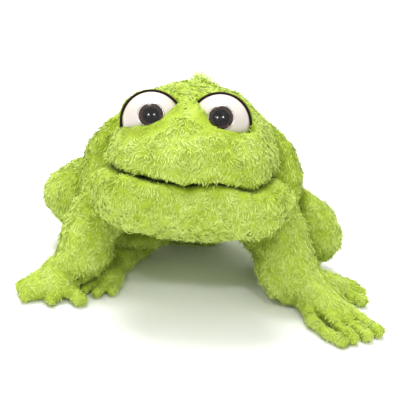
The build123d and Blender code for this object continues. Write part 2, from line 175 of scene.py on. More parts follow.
# ---------------------------------------------------------------- meshes from fields
def surface(field, low, high, cell):
    """Surface nets: one vertex in each cell that the surface crosses, drawn onto the surface."""
    low = np.asarray(low, float)
    axes = [np.arange(a, b + cell, cell) for a, b in zip(low, high)]
    shape = tuple(len(a) for a in axes)
    grid = np.stack(np.meshgrid(*axes, indexing="ij"), -1).reshape(-1, 3)
    value = field(grid).reshape(shape)
    value = np.where(value == 0, 1e-6, value)
    cells = tuple(n - 1 for n in shape)
    total, count = np.zeros((*cells, 3)), np.zeros(cells)

    def corner(offset):
        return value[tuple(slice(o, o + n) for o, n in zip(offset, cells))]

    for axis in range(3):
        for i in (0, 1):
            for j in (0, 1):
                start = np.insert((i, j), axis, 0)
                end = np.insert((i, j), axis, 1)
                a, b = corner(start), corner(end)
                crosses = (a < 0) != (b < 0)
                t = np.where(crosses, a / np.where(crosses, a - b, 1), 0)
                spot = np.broadcast_to(start.astype(float), (*cells, 3)).copy()
                spot[..., axis] += t
                total += spot * crosses[..., None]
                count += crosses
    used = count > 0
    index = np.full(cells, -1)
    index[used] = np.arange(used.sum())
    verts = low + (np.argwhere(used) + total[used] / count[used][:, None]) * cell

    quads = []
    for axis in range(3):
        u, v = (axis + 1) % 3, (axis + 2) % 3
        near = [slice(1, -1)] * 3
        near[axis] = slice(0, -1)
        far = list(near)
        far[axis] = slice(1, None)
        a, b = value[tuple(near)], value[tuple(far)]
        for flip, at in ((False, (a < 0) & (b > 0)), (True, (a > 0) & (b < 0))):
            g = np.argwhere(at)
            g[:, u] += 1
            g[:, v] += 1
            back_u, back_v = np.zeros(3, int), np.zeros(3, int)
            back_u[u], back_v[v] = 1, 1
            ring = [g, g - back_u, g - back_u - back_v, g - back_v]
            if flip:
                ring = ring[::-1]
            quads.append(np.stack([index[tuple(r.T)] for r in ring], 1))
    quads = np.concatenate(quads)
    quads = quads[(quads >= 0).all(1)]

    for _ in range(3):
        slope = gradient(field, verts, cell * 0.25)
        steep = np.maximum((slope**2).sum(1), 0.2)
        step = field(verts)[:, None] * slope / steep[:, None]
        verts = verts - np.clip(step, -cell * 0.5, cell * 0.5)
    return verts, quads


def gradient(field, p, reach):
    """The field's slope at each point, from differences over twice the reach."""
    out = np.empty_like(p)
    for axis in range(3):
        shift = np.zeros(3)
        shift[axis] = reach
        out[:, axis] = (field(p + shift) - field(p - shift)) / (2 * reach)
    return out


def unit(v):
    """Each row of v, scaled to length one."""
    return v / np.maximum(np.linalg.norm(v, axis=1), 1e-9)[:, None]


def scatter(verts, quads, gap, rng):
    """Random points spread evenly over the quads, about one for each gap by gap patch."""
    a, b, c, d = (verts[quads[:, k]] for k in range(4))
    area = np.linalg.norm(np.cross(c - a, d - b), axis=1) / 2
    pick = rng.choice(len(quads), int(area.sum() / gap**2), p=area / area.sum())
    s, t = rng.random((2, len(pick), 1))
    a, b, c, d = a[pick], b[pick], c[pick], d[pick]
    return (a * (1 - s) + b * s) * (1 - t) + (d * (1 - s) + c * s) * t


LOCK_STEPS = np.array((0.0, 0.42, 0.8, 1.0))  # root, two rows and tip, as shares of the length
LOCK_POINTS = 7


def locks(roots, normal, flow, length, width, lift, rng):
    """Curved, tapering locks of pile: three rows of two points and a tip each."""
    n = len(roots)
    side = unit(np.cross(normal, flow) + 0.35 * rng.normal(size=(n, 1)) * normal)
    length = length * rng.uniform(0.7, 1.3, n)
    width = width * rng.uniform(0.75, 1.25, n)
    curl = rng.normal(0, 0.28, n)
    lift = np.clip(lift * rng.uniform(0.5, 1.5, n), 0.08, 1.2)
    rows = []
    for s in LOCK_STEPS:
        rise = lift * (1.5 * s - 0.8 * s * s)
        ahead = 0.45 * s + 0.5 * s * s
        bend = curl * np.sin(2.4 * s)
        middle = roots + (length * rise)[:, None] * normal + (length * ahead)[:, None] * flow
        middle = middle + (length * bend)[:, None] * side - 0.35 * normal
        half = (width * (0.55 + 0.9 * s - 1.2 * s * s) / 2)[:, None]
        if s < 1:
            rows += [middle - half * side, middle + half * side]
        else:
            rows.append(middle)
    verts = np.stack(rows, 1).reshape(-1, 3)
    base = np.arange(n)[:, None] * LOCK_POINTS
    quads = np.concatenate([base + np.array((row, row + 1, row + 3, row + 2)) for row in (0, 2)])
    tris = base + np.array((4, 5, 6))
    tip = np.tile(np.repeat(LOCK_STEPS, (2, 2, 2, 1)), n)
    shade = np.repeat(rng.random(n), LOCK_POINTS)
    return verts, quads, tris, tip, shade


NO_TRIS = np.zeros((0, 3), int)


def make_mesh(name, verts, quads, material, tris=NO_TRIS, attributes=None):
    """A smooth-shaded object from points in millimetres, with a value per point for each attribute."""
    mesh = bpy.data.meshes.new(name)
    mesh.vertices.add(len(verts))
    mesh.vertices.foreach_set("co", (verts * MM).astype(np.float32).ravel())
    loops = np.concatenate((quads.ravel(), tris.ravel()))
    starts = np.concatenate((np.arange(len(quads)) * 4, len(quads) * 4 + np.arange(len(tris)) * 3))
    mesh.loops.add(len(loops))
    mesh.loops.foreach_set("vertex_index", loops.astype(np.int32))
    mesh.polygons.add(len(starts))
    mesh.polygons.foreach_set("loop_start", starts.astype(np.int32))
    mesh.update(calc_edges=True)
    mesh.validate()
    mesh.shade_smooth()
    for key, data in (attributes or {}).items():
        mesh.attributes.new(key, "FLOAT", "POINT").data.foreach_set("value", data.astype(np.float32))
    mesh.materials.append(material)
    obj = bpy.data.objects.new(name, mesh)
    bpy.context.scene.collection.objects.link(obj)
    return obj


LOCK_GAP = 1.35  # between the roots of neighbouring locks
SKIN_CELL = 2.0  # of the grid that a skin's mesh is made on
PILE_FALL = np.array((0.0, -0.25, -0.8))  # the way that the pile is brushed
LONG_PILE = {"length": 4.6, "width": 1.1}
SHORT_PILE = {"length": 3.6, "width": 1.0}
PILE_LIFT = 0.34  # how steeply it stands, per length
TUFT = NECK + SKULL_R * SCREEN_UP + ACROSS  # where the pile on the crown draws together
TUFT_R = 7.0


def painted_fold_shade(points, normal):
    """How much painted shade each point gets from the skins closing in on it: 0 in the open, 1 in a deep
    fold.
    """
    fold_shade = np.zeros(len(points))
    for reach, share in ((6, 0.4), (14, 0.35), (30, 0.25)):
        at = points + reach * normal
        gap = np.minimum.reduce([field(at) for field in SKINS])
        fold_shade += share * np.clip(1 - gap / reach, 0, 1)
    return fold_shade


def furred(name, field, box, body, seed, hidden=None, pile=LONG_PILE, gap=1.0, depth=1.0):
    """A skin from its field, with its pile, riding on body.

    box is the low and high corner of the field's grid, hidden tells where no pile grows, gap spreads the
    locks and depth is how dark the painted shade in the folds gets.
    """
    rng = np.random.default_rng(seed)

    def lumpy(p):
        bumpy = field(p) + 0.5 * waves(p, 36, seed + 50) + 0.3 * waves(p, 14, seed + 60)
        return np.maximum(bumpy, FLOOR + 0.4 - p[:, 2])

    verts, quads = surface(lumpy, *box, SKIN_CELL)
    verts[:, 2] = np.maximum(verts[:, 2], LOWEST_CLOTH)
    roots = scatter(verts, quads, LOCK_GAP * gap, rng)
    normal = unit(gradient(lumpy, roots, 0.8))
    bare = (roots[:, 2] < FLOOR + 1.5) & (normal[:, 2] < -0.3)
    if hidden is not None:
        bare |= hidden(roots)
    roots, normal = roots[~bare], normal[~bare]
    swirl = 0.8 * np.stack([waves(roots, 15, seed + 70 + k) for k in range(3)], 1)
    swirl += 1.6 * PILE_FALL + 0.45 * rng.normal(size=roots.shape)
    flow = unit(swirl - (swirl * normal).sum(1)[:, None] * normal)
    clump = 1 + 0.22 * waves(roots, 7, seed + 80)
    near_eye = np.minimum.reduce([ball(roots, centre, EYE_R) for centre in EYES.values()])
    trim = np.clip(near_eye / 12, 0.4, 1)
    if name in ("head_skin", "jaw_skin"):
        q = head_local(roots)
        trim *= np.clip(np.abs(q[:, 2] - lip_wave(q[:, 0], q[:, 1])) / 6, 0.45, 1)
    floor_room = np.clip((roots[:, 2] - FLOOR) / 8, 0.3, 1)
    if name == "head_skin":
        off = TUFT - roots
        near = np.exp(-((np.linalg.norm(off, axis=1) / TUFT_R) ** 2))
        flow = unit(flow * (1 - near)[:, None] + near[:, None] * (off / TUFT_R + 0.15 * flow))
        clump = clump * (1 + 1.3 * near)
        floor_room = floor_room * (1 + 2.2 * near)
    length = pile["length"] * clump * trim
    lift = PILE_LIFT * clump * floor_room
    lock_verts, lock_quads, lock_tris, tip, shade = locks(
        roots, normal, flow, length, pile["width"], lift, rng
    )
    lock_verts[:, 2] = np.maximum(lock_verts[:, 2], LOWEST_CLOTH)
    count = len(verts)
    # Painted shade: the fold value darkens skin and pile where the skins close in on them.
    painted_shade_skin = painted_fold_shade(verts, unit(gradient(lumpy, verts, 0.8)))
    painted_shade_pile = np.repeat(painted_fold_shade(roots, normal), LOCK_POINTS)
    obj = make_mesh(
        name,
        np.concatenate((verts, lock_verts)),
        np.concatenate((quads, lock_quads + count)),
        PLUSH,
        lock_tris + count,
        {
            # The bare skin gets a low tip value, so it is coloured dark as painted shade deep in the pile.
            "tip": np.concatenate((np.full(count, 0.15), tip)),
            "lock": np.concatenate((np.full(count, 0.5), shade)),
            "fold": np.concatenate((painted_shade_skin, painted_shade_pile)) * depth,
        },
    )
    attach(obj, body)
    return obj


# ---------------------------------------------------------------- materials
def node_material(name):
    """A new material, its node tree and its shader."""
    material = bpy.data.materials.new(name)
    material.use_nodes = True
    tree = material.node_tree
    return material, tree, tree.nodes["Principled BSDF"]


def noise(tree, scale, detail=3.0, rough=0.55):
    place = tree.nodes.new("ShaderNodeTexCoord")
    texture = tree.nodes.new("ShaderNodeTexNoise")
    texture.inputs["Scale"].default_value = scale
    texture.inputs["Detail"].default_value = detail
    texture.inputs["Roughness"].default_value = rough
    tree.links.new(place.outputs["Object"], texture.inputs["Vector"])
    return texture.outputs["Fac"]


def ramp(tree, value, stops):
    node = tree.nodes.new("ShaderNodeValToRGB")
    band = node.color_ramp
    while len(band.elements) < len(stops):
        band.elements.new(0.5)
    for element, (spot, colour) in zip(band.elements, stops):
        element.position = spot
        element.color = (*colour, 1)
    tree.links.new(value, node.inputs["Fac"])
    return node.outputs["Color"]


def maths(tree, kind, a, b):
    node = tree.nodes.new("ShaderNodeMath")
    node.operation = kind
    for socket, value in zip(node.inputs, (a, b)):
        if isinstance(value, (int, float)):
            socket.default_value = value
        else:
            tree.links.new(value, socket)
    return node.outputs["Value"]


def attribute(tree, name):
    node = tree.nodes.new("ShaderNodeAttribute")
    node.attribute_name = name
    return node.outputs["Fac"]


def bump(tree, shader, height, strength, distance):
    node = tree.nodes.new("ShaderNodeBump")
    node.inputs["Strength"].default_value = strength
    node.inputs["Distance"].default_value = distance
    tree.links.new(height, node.inputs["Height"])
    tree.links.new(node.outputs["Normal"], shader.inputs["Normal"])


# Stops of the plush ramp: PLUSH_DARK is the painted shade colour that lock roots, bare skin and folds are
# pushed towards.
PLUSH_DARK = (0.170, 0.250, 0.003)
PLUSH_MID = (0.355, 0.470, 0.035)
PLUSH_LIGHT = (0.560, 0.690, 0.155)
PLUSH_PALE = (0.800, 0.900, 0.350)


def plush_material():
    """Lime pile: darker at each lock's root as painted shade deep in the pile, paler towards the tip,
    mottled, and painted shade where the skins close in.
    """
    material, tree, shader = node_material("curly_plush")
    # Painted shade deep in the pile: dark at each lock's root, paler towards its tip.
    along = maths(tree, "MULTIPLY", attribute(tree, "tip"), 0.42)
    lock = maths(tree, "MULTIPLY", attribute(tree, "lock"), 0.18)
    patch = maths(tree, "MULTIPLY", noise(tree, 45, 4), 0.48)
    value = maths(tree, "ADD", maths(tree, "ADD", along, lock), patch)
    # Painted shade in the folds, from the fold attribute.
    value = maths(tree, "SUBTRACT", value, maths(tree, "MULTIPLY", attribute(tree, "fold"), 0.50))
    colour = ramp(
        tree, value, ((0.02, PLUSH_DARK), (0.34, PLUSH_MID), (0.66, PLUSH_LIGHT), (0.98, PLUSH_PALE))
    )
    tree.links.new(colour, shader.inputs["Base Color"])
    shader.inputs["Roughness"].default_value = 0.85
    shader.inputs["Specular IOR Level"].default_value = 0.2
    shader.inputs["Sheen Weight"].default_value = 0.4
    shader.inputs["Sheen Roughness"].default_value = 0.4
    shader.inputs["Sheen Tint"].default_value = (0.85, 1.0, 0.45, 1)
    bump(tree, shader, noise(tree, 700, 2), 0.35, 0.0008)
    return material


PLUSH = plush_material()


def cloth_material(name, dark, light, scale, roughness=0.85, sheen=0.3):
    """A fine woven or felted cloth."""
    material, tree, shader = node_material(name)
    colour = ramp(tree, noise(tree, scale, 5, 0.7), ((0.3, dark), (0.7, light)))
    tree.links.new(colour, shader.inputs["Base Color"])
    shader.inputs["Roughness"].default_value = roughness
    shader.inputs["Sheen Weight"].default_value = sheen
    shader.inputs["Specular IOR Level"].default_value = sheen
    bump(tree, shader, noise(tree, scale * 6, 3), 0.5, 0.0005)
    return material


def plastic_material(name, dark, light, roughness, scale=40, coat=0.4, specular=0.5):
    """A smooth moulding, faintly mottled."""
    material, tree, shader = node_material(name)
    colour = ramp(tree, noise(tree, scale, 3), ((0.3, dark), (0.7, light)))
    tree.links.new(colour, shader.inputs["Base Color"])
    shader.inputs["Roughness"].default_value = roughness
    shader.inputs["Specular IOR Level"].default_value = specular
    shader.inputs["Coat Weight"].default_value = coat
    shader.inputs["Coat Roughness"].default_value = 0.08
    return material


# ---------------------------------------------------------------- the head
def lid_height(inward):
    """How high the fur lid stands on the globe, by the distance inward from the globe's middle."""
    flat = -6.3 + 0.12 * inward
    steep = 1.4 * inward - 13.5
    return -melt(-flat, -steep, 10.0)


def eye_opening(p, side):
    """Negative where the globe shows: ahead of its piping and over its lid."""
    centre = EYES[side]
    q = p - centre
    inward = q[:, 0] * (-1 if side == "left" else 1)
    behind = 0.6 - q @ GAZE
    under = (lid_height(inward) - q @ SCREEN_UP) * 0.75
    reach = EYE_R + 7 - 2.0 * np.clip((inward - 12) / 8, 0, 1)  # less where the eyes stand close together
    return np.maximum(np.maximum(behind, under), ball(p, centre, reach))


LIP_LINE = (
    # across, height over the mouth plane
    (-74, 0),
    (-58, -1),
    (-44, -2.5),
    (-24, -4.2),
    (-3, -6.8),
    (10, -5),
    (24, -3),
    (38, -4.8),
    (52, -8.5),
    (66, -7),
    (84, 0),
)
HEAD_REAR = 66.0
JAW_REAR = 34.0
LIP_GAP = 0.8  # each lip stands off the lip line by this much
HOOD = 3.6  # the hood's thickness over a globe
GLOBE_SINK = 1.4  # how far the skins reach into a globe, so that no gap shows


def lip_wave(x, y):
    """The height of the lips' line over the mouth plane, which wavers along the front only."""
    ahead = np.clip((-y - 52) / 26, 0, 1)
    ahead = ahead * ahead * (3 - 2 * ahead)
    places, dips = zip(*LIP_LINE)
    return ahead * np.interp(x, places, dips)


def hand_room(q):
    """Negative in the room for fingers, palm, thumb and the mouth's boards, in the mouth plane's own axes."""
    x, y, z = q.T
    corner = np.hypot(np.maximum(np.abs(x) - 31, 0), np.maximum(-60 - y, 0)) - 17
    fingers = np.maximum.reduce((corner, y + 5, z - 26.5, 2.0 - z))
    palm = np.maximum.reduce((np.abs(x) - 49, -7 - y, z - 29, -20 - z))
    thumb = np.maximum.reduce((np.abs(x) - 20, -66 - y, y + 5, z + 2.0, -32 - z))
    board = np.maximum.reduce((np.hypot(x / 67.5, (y + 2.8) / 83.5) * 67.5 - 67.5, np.abs(z) - 3.9, y))
    return np.minimum.reduce((fingers, palm, thumb, board))


def head_field(p):
    """Skull, muzzle and hoods, opened for the eyes, cut at the lips and hollow for the fingers."""
    q = head_local(p)
    skull = ball(p, NECK, SKULL_R)
    cheeks = (*on_head(-24, -39, 2), 50), (*on_head(-2, -41, 3), 52), (*on_head(20, -39, 2), 51)
    shape = melt(skull, chain(p, cheeks, 10), 8)
    for centre in EYES.values():
        shape = melt(shape, ball(p, centre, EYE_R + HOOD), 4)
    for side, centre in EYES.items():
        shape = np.maximum(shape, -eye_opening(p, side))
        shape = np.maximum(shape, -ball(p, centre, EYE_R - GLOBE_SINK))
    lip = lip_wave(q[:, 0], q[:, 1]) + LIP_GAP - q[:, 2]
    shape = both(shape, lip, 6)
    shape = np.maximum(shape, q[:, 1] - HEAD_REAR)
    return np.maximum(shape, -hand_room(q))


def jaw_field(p):
    """A bowl and a chin, flat below, cut at the lips and hollow for the thumb."""
    q = head_local(p)
    bowl = ball(p, NECK, BOWL_R)
    chin = limb(p, on_head(-40, -43, -9), on_head(45, -43, -9), 49, 47)
    shape = melt(bowl, chin, 12)
    below = -36.0 - (p - np.array((0, -120, 96))) @ SCREEN_UP
    shape = both(shape, below, 12)
    parted = 2.2 * np.exp(-(((q[:, 0] + 38) / 30) ** 2)) * np.clip((-q[:, 1] - 40) / 30, 0, 1)
    lip = q[:, 2] + LIP_GAP + parted - lip_wave(q[:, 0], q[:, 1])
    shape = both(shape, lip, 6 + 22 * np.clip((np.abs(q[:, 0] - 3) - 48) / 34, 0, 1))
    shape = np.maximum(shape, q[:, 1] - JAW_REAR)
    return np.maximum(shape, -hand_room(q))


def inside_head(roots):
    """Where no pile grows on head and jaw: in the hand's room, in the mouth, at the rear, on a globe."""
    q = head_local(roots)
    deep = hand_room(q) < 0.6
    mouth = (np.abs(q[:, 2]) < 2.5) & (np.hypot(q[:, 0], q[:, 1]) < 60)
    rear = q[:, 1] > np.where(q[:, 2] > 29, HEAD_REAR - 6, JAW_REAR - 1)
    eyes = np.zeros(len(roots), bool)
    for centre in EYES.values():
        eyes |= ball(roots, centre, EYE_R + 1.2) < 0
    return deep | mouth | rear | eyes


# ---------------------------------------------------------------- the torso
TORSO = np.array(
    (
        # along, half width, half height, drop
        (18, 96, 64, 0),
        (42, 102, 64, 0),
        (66, 103, 64, 0),
        (98, 97, 62, 0),
        (130, 83, 63, 2),
        (154, 60, 64, 8),
        (166, 52, 60, 6),
    ),
    float,
)


def torso_field(p):
    """A barrel along the sleeve with two shoulders, bored for the sleeve and hollowed for the head."""
    q = p - NECK
    along = q @ SLEEVE
    half, tall, drop = (np.interp(along, TORSO[:, 0], TORSO[:, k]) for k in (1, 2, 3))
    down = q @ SLEEVE_DOWN - drop
    shape = (np.hypot(p[:, 0] / half, down / tall) - 1) * np.minimum(half, tall)
    shape = both(shape, along - TORSO_END, 8)
    shape = both(shape, TORSO_START - along, 6)
    for side in (1, -1):
        shoulder = limb(p, (side * 60, -67, 88), (side * 82, -97, 64), 30, 25)
        shape = melt(shape, shoulder, 16)
    across = np.hypot(p[:, 0], q @ SLEEVE_DOWN)
    shape = np.maximum(shape, TORSO_BORE_R - across)
    shape = np.maximum(shape, np.minimum(CUFF_SEAT_R - across, along - CUFF_SEAT_START))
    shape = np.maximum(shape, -ball(p, NECK, HOLLOW_R))
    return np.maximum(shape, FLOOR + 3.3 - p[:, 2])


def inside_torso(roots):
    """Where no pile grows on the torso: in the sleeve and in the hollow for the head."""
    q = roots - NECK
    across = np.hypot(roots[:, 0], q @ SLEEVE_DOWN)
    return (across < PILE_START_R) | (ball(roots, NECK, HOLLOW_R + 1) < 0)


# ---------------------------------------------------------------- limbs
def digits_field(p, palm, tubes, soft):
    """A palm or sole with its fingers or toes melted on."""
    shape = palm
    for tube in tubes:
        shape = melt(shape, chain(p, tube, 1), soft)
    return shape


WRIST = {side: JOINT_AT[f"{side}_wrist_swing"] for side in SIDES}
HAUNCH = {side: JOINT_AT[f"{side}_hip_swing"] for side in SIDES}
ANKLE = {side: JOINT_AT[f"{side}_ankle_swing"] for side in SIDES}
PALM_YAW = {"left": radians(-40), "right": radians(-152)}
PALM = {"left": (137, -143, 13), "right": (-118, -141, 14)}
PALM_SIZE = {"left": (24, 17, 10), "right": (24, 17, 11)}
KNUCKLE = {"left": (141, -117, 21), "right": (-118, -128, 18)}
WEBBING = {"left": 4, "right": 9}
# Outlines of the limbs, as points of (x, y, z, radius)
ARM = {
    "left": ((86, -99, 62, 24), (91, -110, 40, 24.5), (98, -117, 28, 23.5), (117, -126, 21.5, 18.5)),
    "right": ((-86, -99, 62, 24), (-91, -109, 46, 22.5), (-93, -119, 34, 22), (-99, -127, 26, 19)),
}
FINGERS = {
    "left": (
        ((110, -132, 10, 5.6), (119, -163, 6.8, 5.0), (130, -183, 6.0, 4.6), (143, -195, 5.5, 4.4)),
        ((130, -146, 10, 7.0), (143, -174, 7, 5.2), (154, -189, 5.8, 4.8)),
        ((137, -142, 10, 7.5), (154, -166, 7, 5.6), (166, -181, 6.0, 5.0)),
        ((141, -134, 10, 7.5), (162, -154, 7.5, 6.0), (177, -171, 6.2, 5.2)),
    ),
    "right": (
        ((-106, -140, 11, 7.5), (-97, -152, 7.5, 6.2), (-91, -160, 6.6, 5.8)),
        ((-114, -144, 11, 8.0), (-115, -158, 7.5, 6.6), (-116, -165, 6.8, 6.0)),
        ((-122, -142, 11, 8.0), (-132, -153, 8.0, 7.0), (-138, -161, 7.0, 6.4)),
        ((-124, -134, 11, 8.0), (-137, -142, 8.5, 7.0), (-144, -147, 7.4, 6.4)),
    ),
}
TOES = {
    "left": (
        ((128, -86, 9, 6.5), (142, -98, 6.8, 5.4), (154, -110, 6.0, 5.0)),
        ((134, -88, 9, 6.5), (152, -101, 6.8, 5.6), (168, -112, 6.2, 5.6)),
        ((136, -84, 9, 6.5), (154, -90, 6.8, 5.4), (167, -95, 6.2, 5.0)),
        ((132, -78, 9, 6.5), (148, -80, 7.2, 5.6), (160, -81, 6.6, 5.6)),
    ),
    "right": (
        ((-64, -108, 9, 6.5), (-62, -124, 6.2, 5.0), (-64, -136, 5.4, 4.4)),
        ((-70, -112, 9, 6.5), (-73, -130, 6.2, 5.2), (-77, -142, 5.4, 4.6)),
        ((-76, -112, 9, 6.5), (-83, -128, 6.2, 5.2), (-89, -138, 5.4, 4.6)),
        ((-80, -106, 9, 6.5), (-90, -119, 6.2, 5.0), (-96, -126, 5.4, 4.4)),
    ),
}
HAUNCH_SHAPE = {
    "left": ((106, -36, 72, 9), (114, -38, 54, 20), (124, -42, 36, 24)),
    "right": ((-104, -22, 72, 16), (-110, -23, 56, 25), (-109, -24, 44, 24)),
}
CALF = {"left": (54, -50, 42), "right": (-30, -52, 27)}
HEEL = {"left": (76, -44, 10), "right": (-40, -38, 10)}
SOLE = {"left": (133, -86, 8.5), "right": (-72.7, -110.5, 8.5)}
INSTEP = {"left": (92, -62, 11), "right": (-60, -76, 11)}


def limb_fields(side):
    """The fields of one side's arm, hand, leg and foot."""
    wrist, palm, sole, ankle, haunch = (t[side] for t in (WRIST, PALM, SOLE, ANKLE, HAUNCH))

    def arm(p):
        return chain(p, ARM[side], 10)

    def hand(p):
        back = melt(limb(p, wrist, palm, 17.0, 11.5), limb(p, wrist, KNUCKLE[side], 15.0, 10.5), 8)
        web = egg(p, (palm[0], palm[1], 10), PALM_SIZE[side], PALM_YAW[side])
        return digits_field(p, melt(back, web, 8), FINGERS[side], WEBBING[side])

    def leg(p):
        thigh = chain(p, HAUNCH_SHAPE[side], 10)
        over = (ankle[0], ankle[1], ankle[2] + 14)
        shank = limb(p, haunch, over, 18, 13)
        calf = limb(p, over, CALF[side], 13, 11)
        return melt(melt(thigh, shank, 14), calf, 10)

    def foot(p):
        heel = chain(p, ((*HEEL[side], 9.5), (*INSTEP[side], 11.5), (*sole, 9.0)), 6)
        web = egg(p, sole, (15, 15, 8))
        return digits_field(p, melt(heel, web, 6), TOES[side], 4)

    return {"arm": arm, "hand": hand, "leg": leg, "foot": foot}


REACH = 34.0  # room round a limb's points for its field's grid
LIMBS = {side: limb_fields(side) for side in SIDES}
SKINS = [head_field, jaw_field, torso_field, *LIMBS["left"].values(), *LIMBS["right"].values()]


def limb_box(points):
    """The corners of the grid for a limb's field."""
    points = np.array([p[:3] for p in points], float)
    low, high = points.min(0) - REACH, points.max(0) + REACH
    low[2] = max(low[2], FLOOR - 4)
    return low, high


COVERED = {
    "arm": ("arm_cover", "arm_stuffing"),
    "hand": ("hand_cover", "hand_pellets", "fingers"),
    "leg": ("leg_cover", "leg_stuffing"),
    "foot": ("foot_cover", "foot_pellets", "toes"),
}


def skins():
    """The plush skins, each in place of its CAD cover and what fills it."""
    head_box = (-92, -208, 112), (96, -28, 222)
    head = furred("head_skin", head_field, head_box, "head", 11, inside_head)
    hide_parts("head_cover", "head_foam", "left_eye_hood", "right_eye_hood")
    jaw_box = (-104, -208, 36), (110, -40, 160)
    jaw = furred("jaw_skin", jaw_field, jaw_box, "jaw", 12, inside_head)
    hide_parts("jaw_cover", "jaw_foam")
    torso_box = (-120, -128, -2), (120, 76, 180)
    torso = furred("torso_skin", torso_field, torso_box, "torso", 13, inside_torso, gap=1.15)
    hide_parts("torso_cover", "torso_stuffing")

    for side in SIDES:
        boxes = {
            "arm": limb_box(ARM[side]),
            "hand": limb_box((WRIST[side], FINGERS[side][0][-1], FINGERS[side][3][-1])),
            "leg": limb_box((*HAUNCH_SHAPE[side], ANKLE[side], CALF[side])),
            "foot": limb_box((HEEL[side], SOLE[side], TOES[side][1][-1], TOES[side][3][-1])),
        }
        for seed, (part, field) in enumerate(LIMBS[side].items(), 30 if side == "left" else 20):
            small = part in ("hand", "foot")
            skin = furred(
                f"{side}_{part}_skin",
                field,
                boxes[part],
                f"{side}_{part}",
                seed,
                pile=SHORT_PILE if small else LONG_PILE,
                # Hands and feet get less painted shade in their folds.
                depth=0.35 if small else 0.8,
            )
            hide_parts(*(f"{side}_{node}" for node in COVERED[part]))


# ---------------------------------------------------------------- cloth pieces out of sight of the camera
def outward(verts, quads):
    """The quads turned so that they face out of the closed form."""
    a, b, c, d = (verts[quads[:, k]] - verts.mean(0) for k in range(4))
    volume = (np.cross(a, b) * c).sum() + (np.cross(a, c) * d).sum()
    return quads if volume > 0 else quads[:, ::-1]


def closed_tube(rings):
    """A solid between rings of points, each ring joined to the next and the last to the first."""
    count = len(rings[0])
    here = np.arange(count)
    after = np.roll(here, -1)
    quads = []
    for k in range(len(rings)):
        a, b = k * count, (k + 1) % len(rings) * count
        quads.append(np.stack((a + here, b + here, b + after, a + after), 1))
    verts = np.concatenate(rings)
    return verts, outward(verts, np.concatenate(quads))


def cloth_tube(name, rings, material, body, node):
    """A closed tube of cloth that rides a body and stands for a CAD node."""
    verts, quads = closed_tube(rings)
    piece = make_mesh(name, verts, quads, material)
    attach(piece, body)
    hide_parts(node)


def spokes_of(count):
    """Evenly spaced angles of a whole turn."""
    return np.arange(count) * 2 * pi / count


SPOKES = 288
TURNS = spokes_of(SPOKES)
SLEEVE_AROUND = np.cos(TURNS)[:, None] * ACROSS + np.sin(TURNS)[:, None] * SLEEVE_DOWN


def sleeve_ring(radius, along):
    """A ring of points round the sleeve's axis, its radius and its place along the axis given per spoke."""
    return NECK + radius[:, None] * SLEEVE_AROUND + np.broadcast_to(along, SPOKES)[:, None] * SLEEVE


def gathers(count, seed):
    """Uneven folds round the sleeve, about -1 to 1."""
    folds = np.sin(count * TURNS + 1.3 * np.sin(3 * TURNS + seed))
    return 0.7 * folds + 0.3 * np.sin(int(1.6 * count) * TURNS + seed)


CUFF_OUTER_R = 51.6
CUFF_INNER_R = 46.4
CUFF_ELASTIC = 158.0  # along the sleeve, where the elastic draws the cuff in
CUFF_STITCHES = 162.5
STITCH_COUNT = 72
STITCH_STEPS = 7
STITCH_SIDES = 6


def cuff():
    """The cuff's hem: a folded band, gathered by its elastic."""
    pleats = gathers(30, 1.0)
    profile = []
    for t in np.linspace(0, 1, 15):
        along = 149.2 + 17.6 * t
        pinch = 0.27 * np.exp(-(((along - CUFF_ELASTIC) / 3.2) ** 2))
        edge = 2.4 * (1 - min(t / 0.12, 1)) ** 2 + 2.4 * max(0, (t - 0.86) / 0.14) ** 2
        profile.append(sleeve_ring(CUFF_OUTER_R - pinch - edge + (0.15 + 0.3 * t) * pleats, along))
    for t in np.linspace(1, 0, 15):
        along = 149.4 + 17.2 * t
        pinch = 0.15 * np.exp(-(((along - CUFF_ELASTIC) / 3.2) ** 2))
        edge = 1.2 * max(0, (t - 0.86) / 0.14) ** 2
        profile.append(sleeve_ring(CUFF_INNER_R - pinch + edge + (0.1 + 0.3 * t) * pleats, along))
    cloth_tube("cuff_band", profile, HEM_CLOTH, "torso", "cuff_hem")


def cuff_stitches():
    """A row of stitches round the cuff, each a short bowed length of thread with closed ends."""
    pleats = gathers(30, 1.0)
    sides = spokes_of(STITCH_SIDES)
    here, after = np.arange(STITCH_SIDES), np.roll(np.arange(STITCH_SIDES), -1)
    rings, quads = [], []
    for middle in (np.arange(STITCH_COUNT) + 0.5) * 2 * pi / STITCH_COUNT:
        first = len(rings) * STITCH_SIDES
        for step in np.linspace(-1, 1, STITCH_STEPS):
            turn = middle + step * 0.026
            out = cos(turn) * ACROSS + sin(turn) * SLEEVE_DOWN
            pleat = pleats[int(turn / (2 * pi) * SPOKES) % SPOKES]
            radius = CUFF_OUTER_R + 0.1 + 0.2 * pleat - 0.35 * step * step
            centre = NECK + radius * out + CUFF_STITCHES * SLEEVE
            size = 0.42 * (1 - step**6) + 0.04
            rings.append(centre + size * (np.cos(sides)[:, None] * out + np.sin(sides)[:, None] * SLEEVE))
        for step in range(STITCH_STEPS - 1):
            a = first + step * STITCH_SIDES
            b = a + STITCH_SIDES
            quads.append(np.stack((a + here, a + after, b + after, b + here), 1))
        last = first + (STITCH_STEPS - 1) * STITCH_SIDES
        quads.append(first + np.array([[0, 5, 4, 3], [0, 3, 2, 1]]))
        quads.append(last + np.array([[0, 1, 2, 3], [0, 3, 4, 5]]))
    thread = make_mesh("cuff_stitches", np.concatenate(rings), np.concatenate(quads), THREAD)
    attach(thread, "torso")


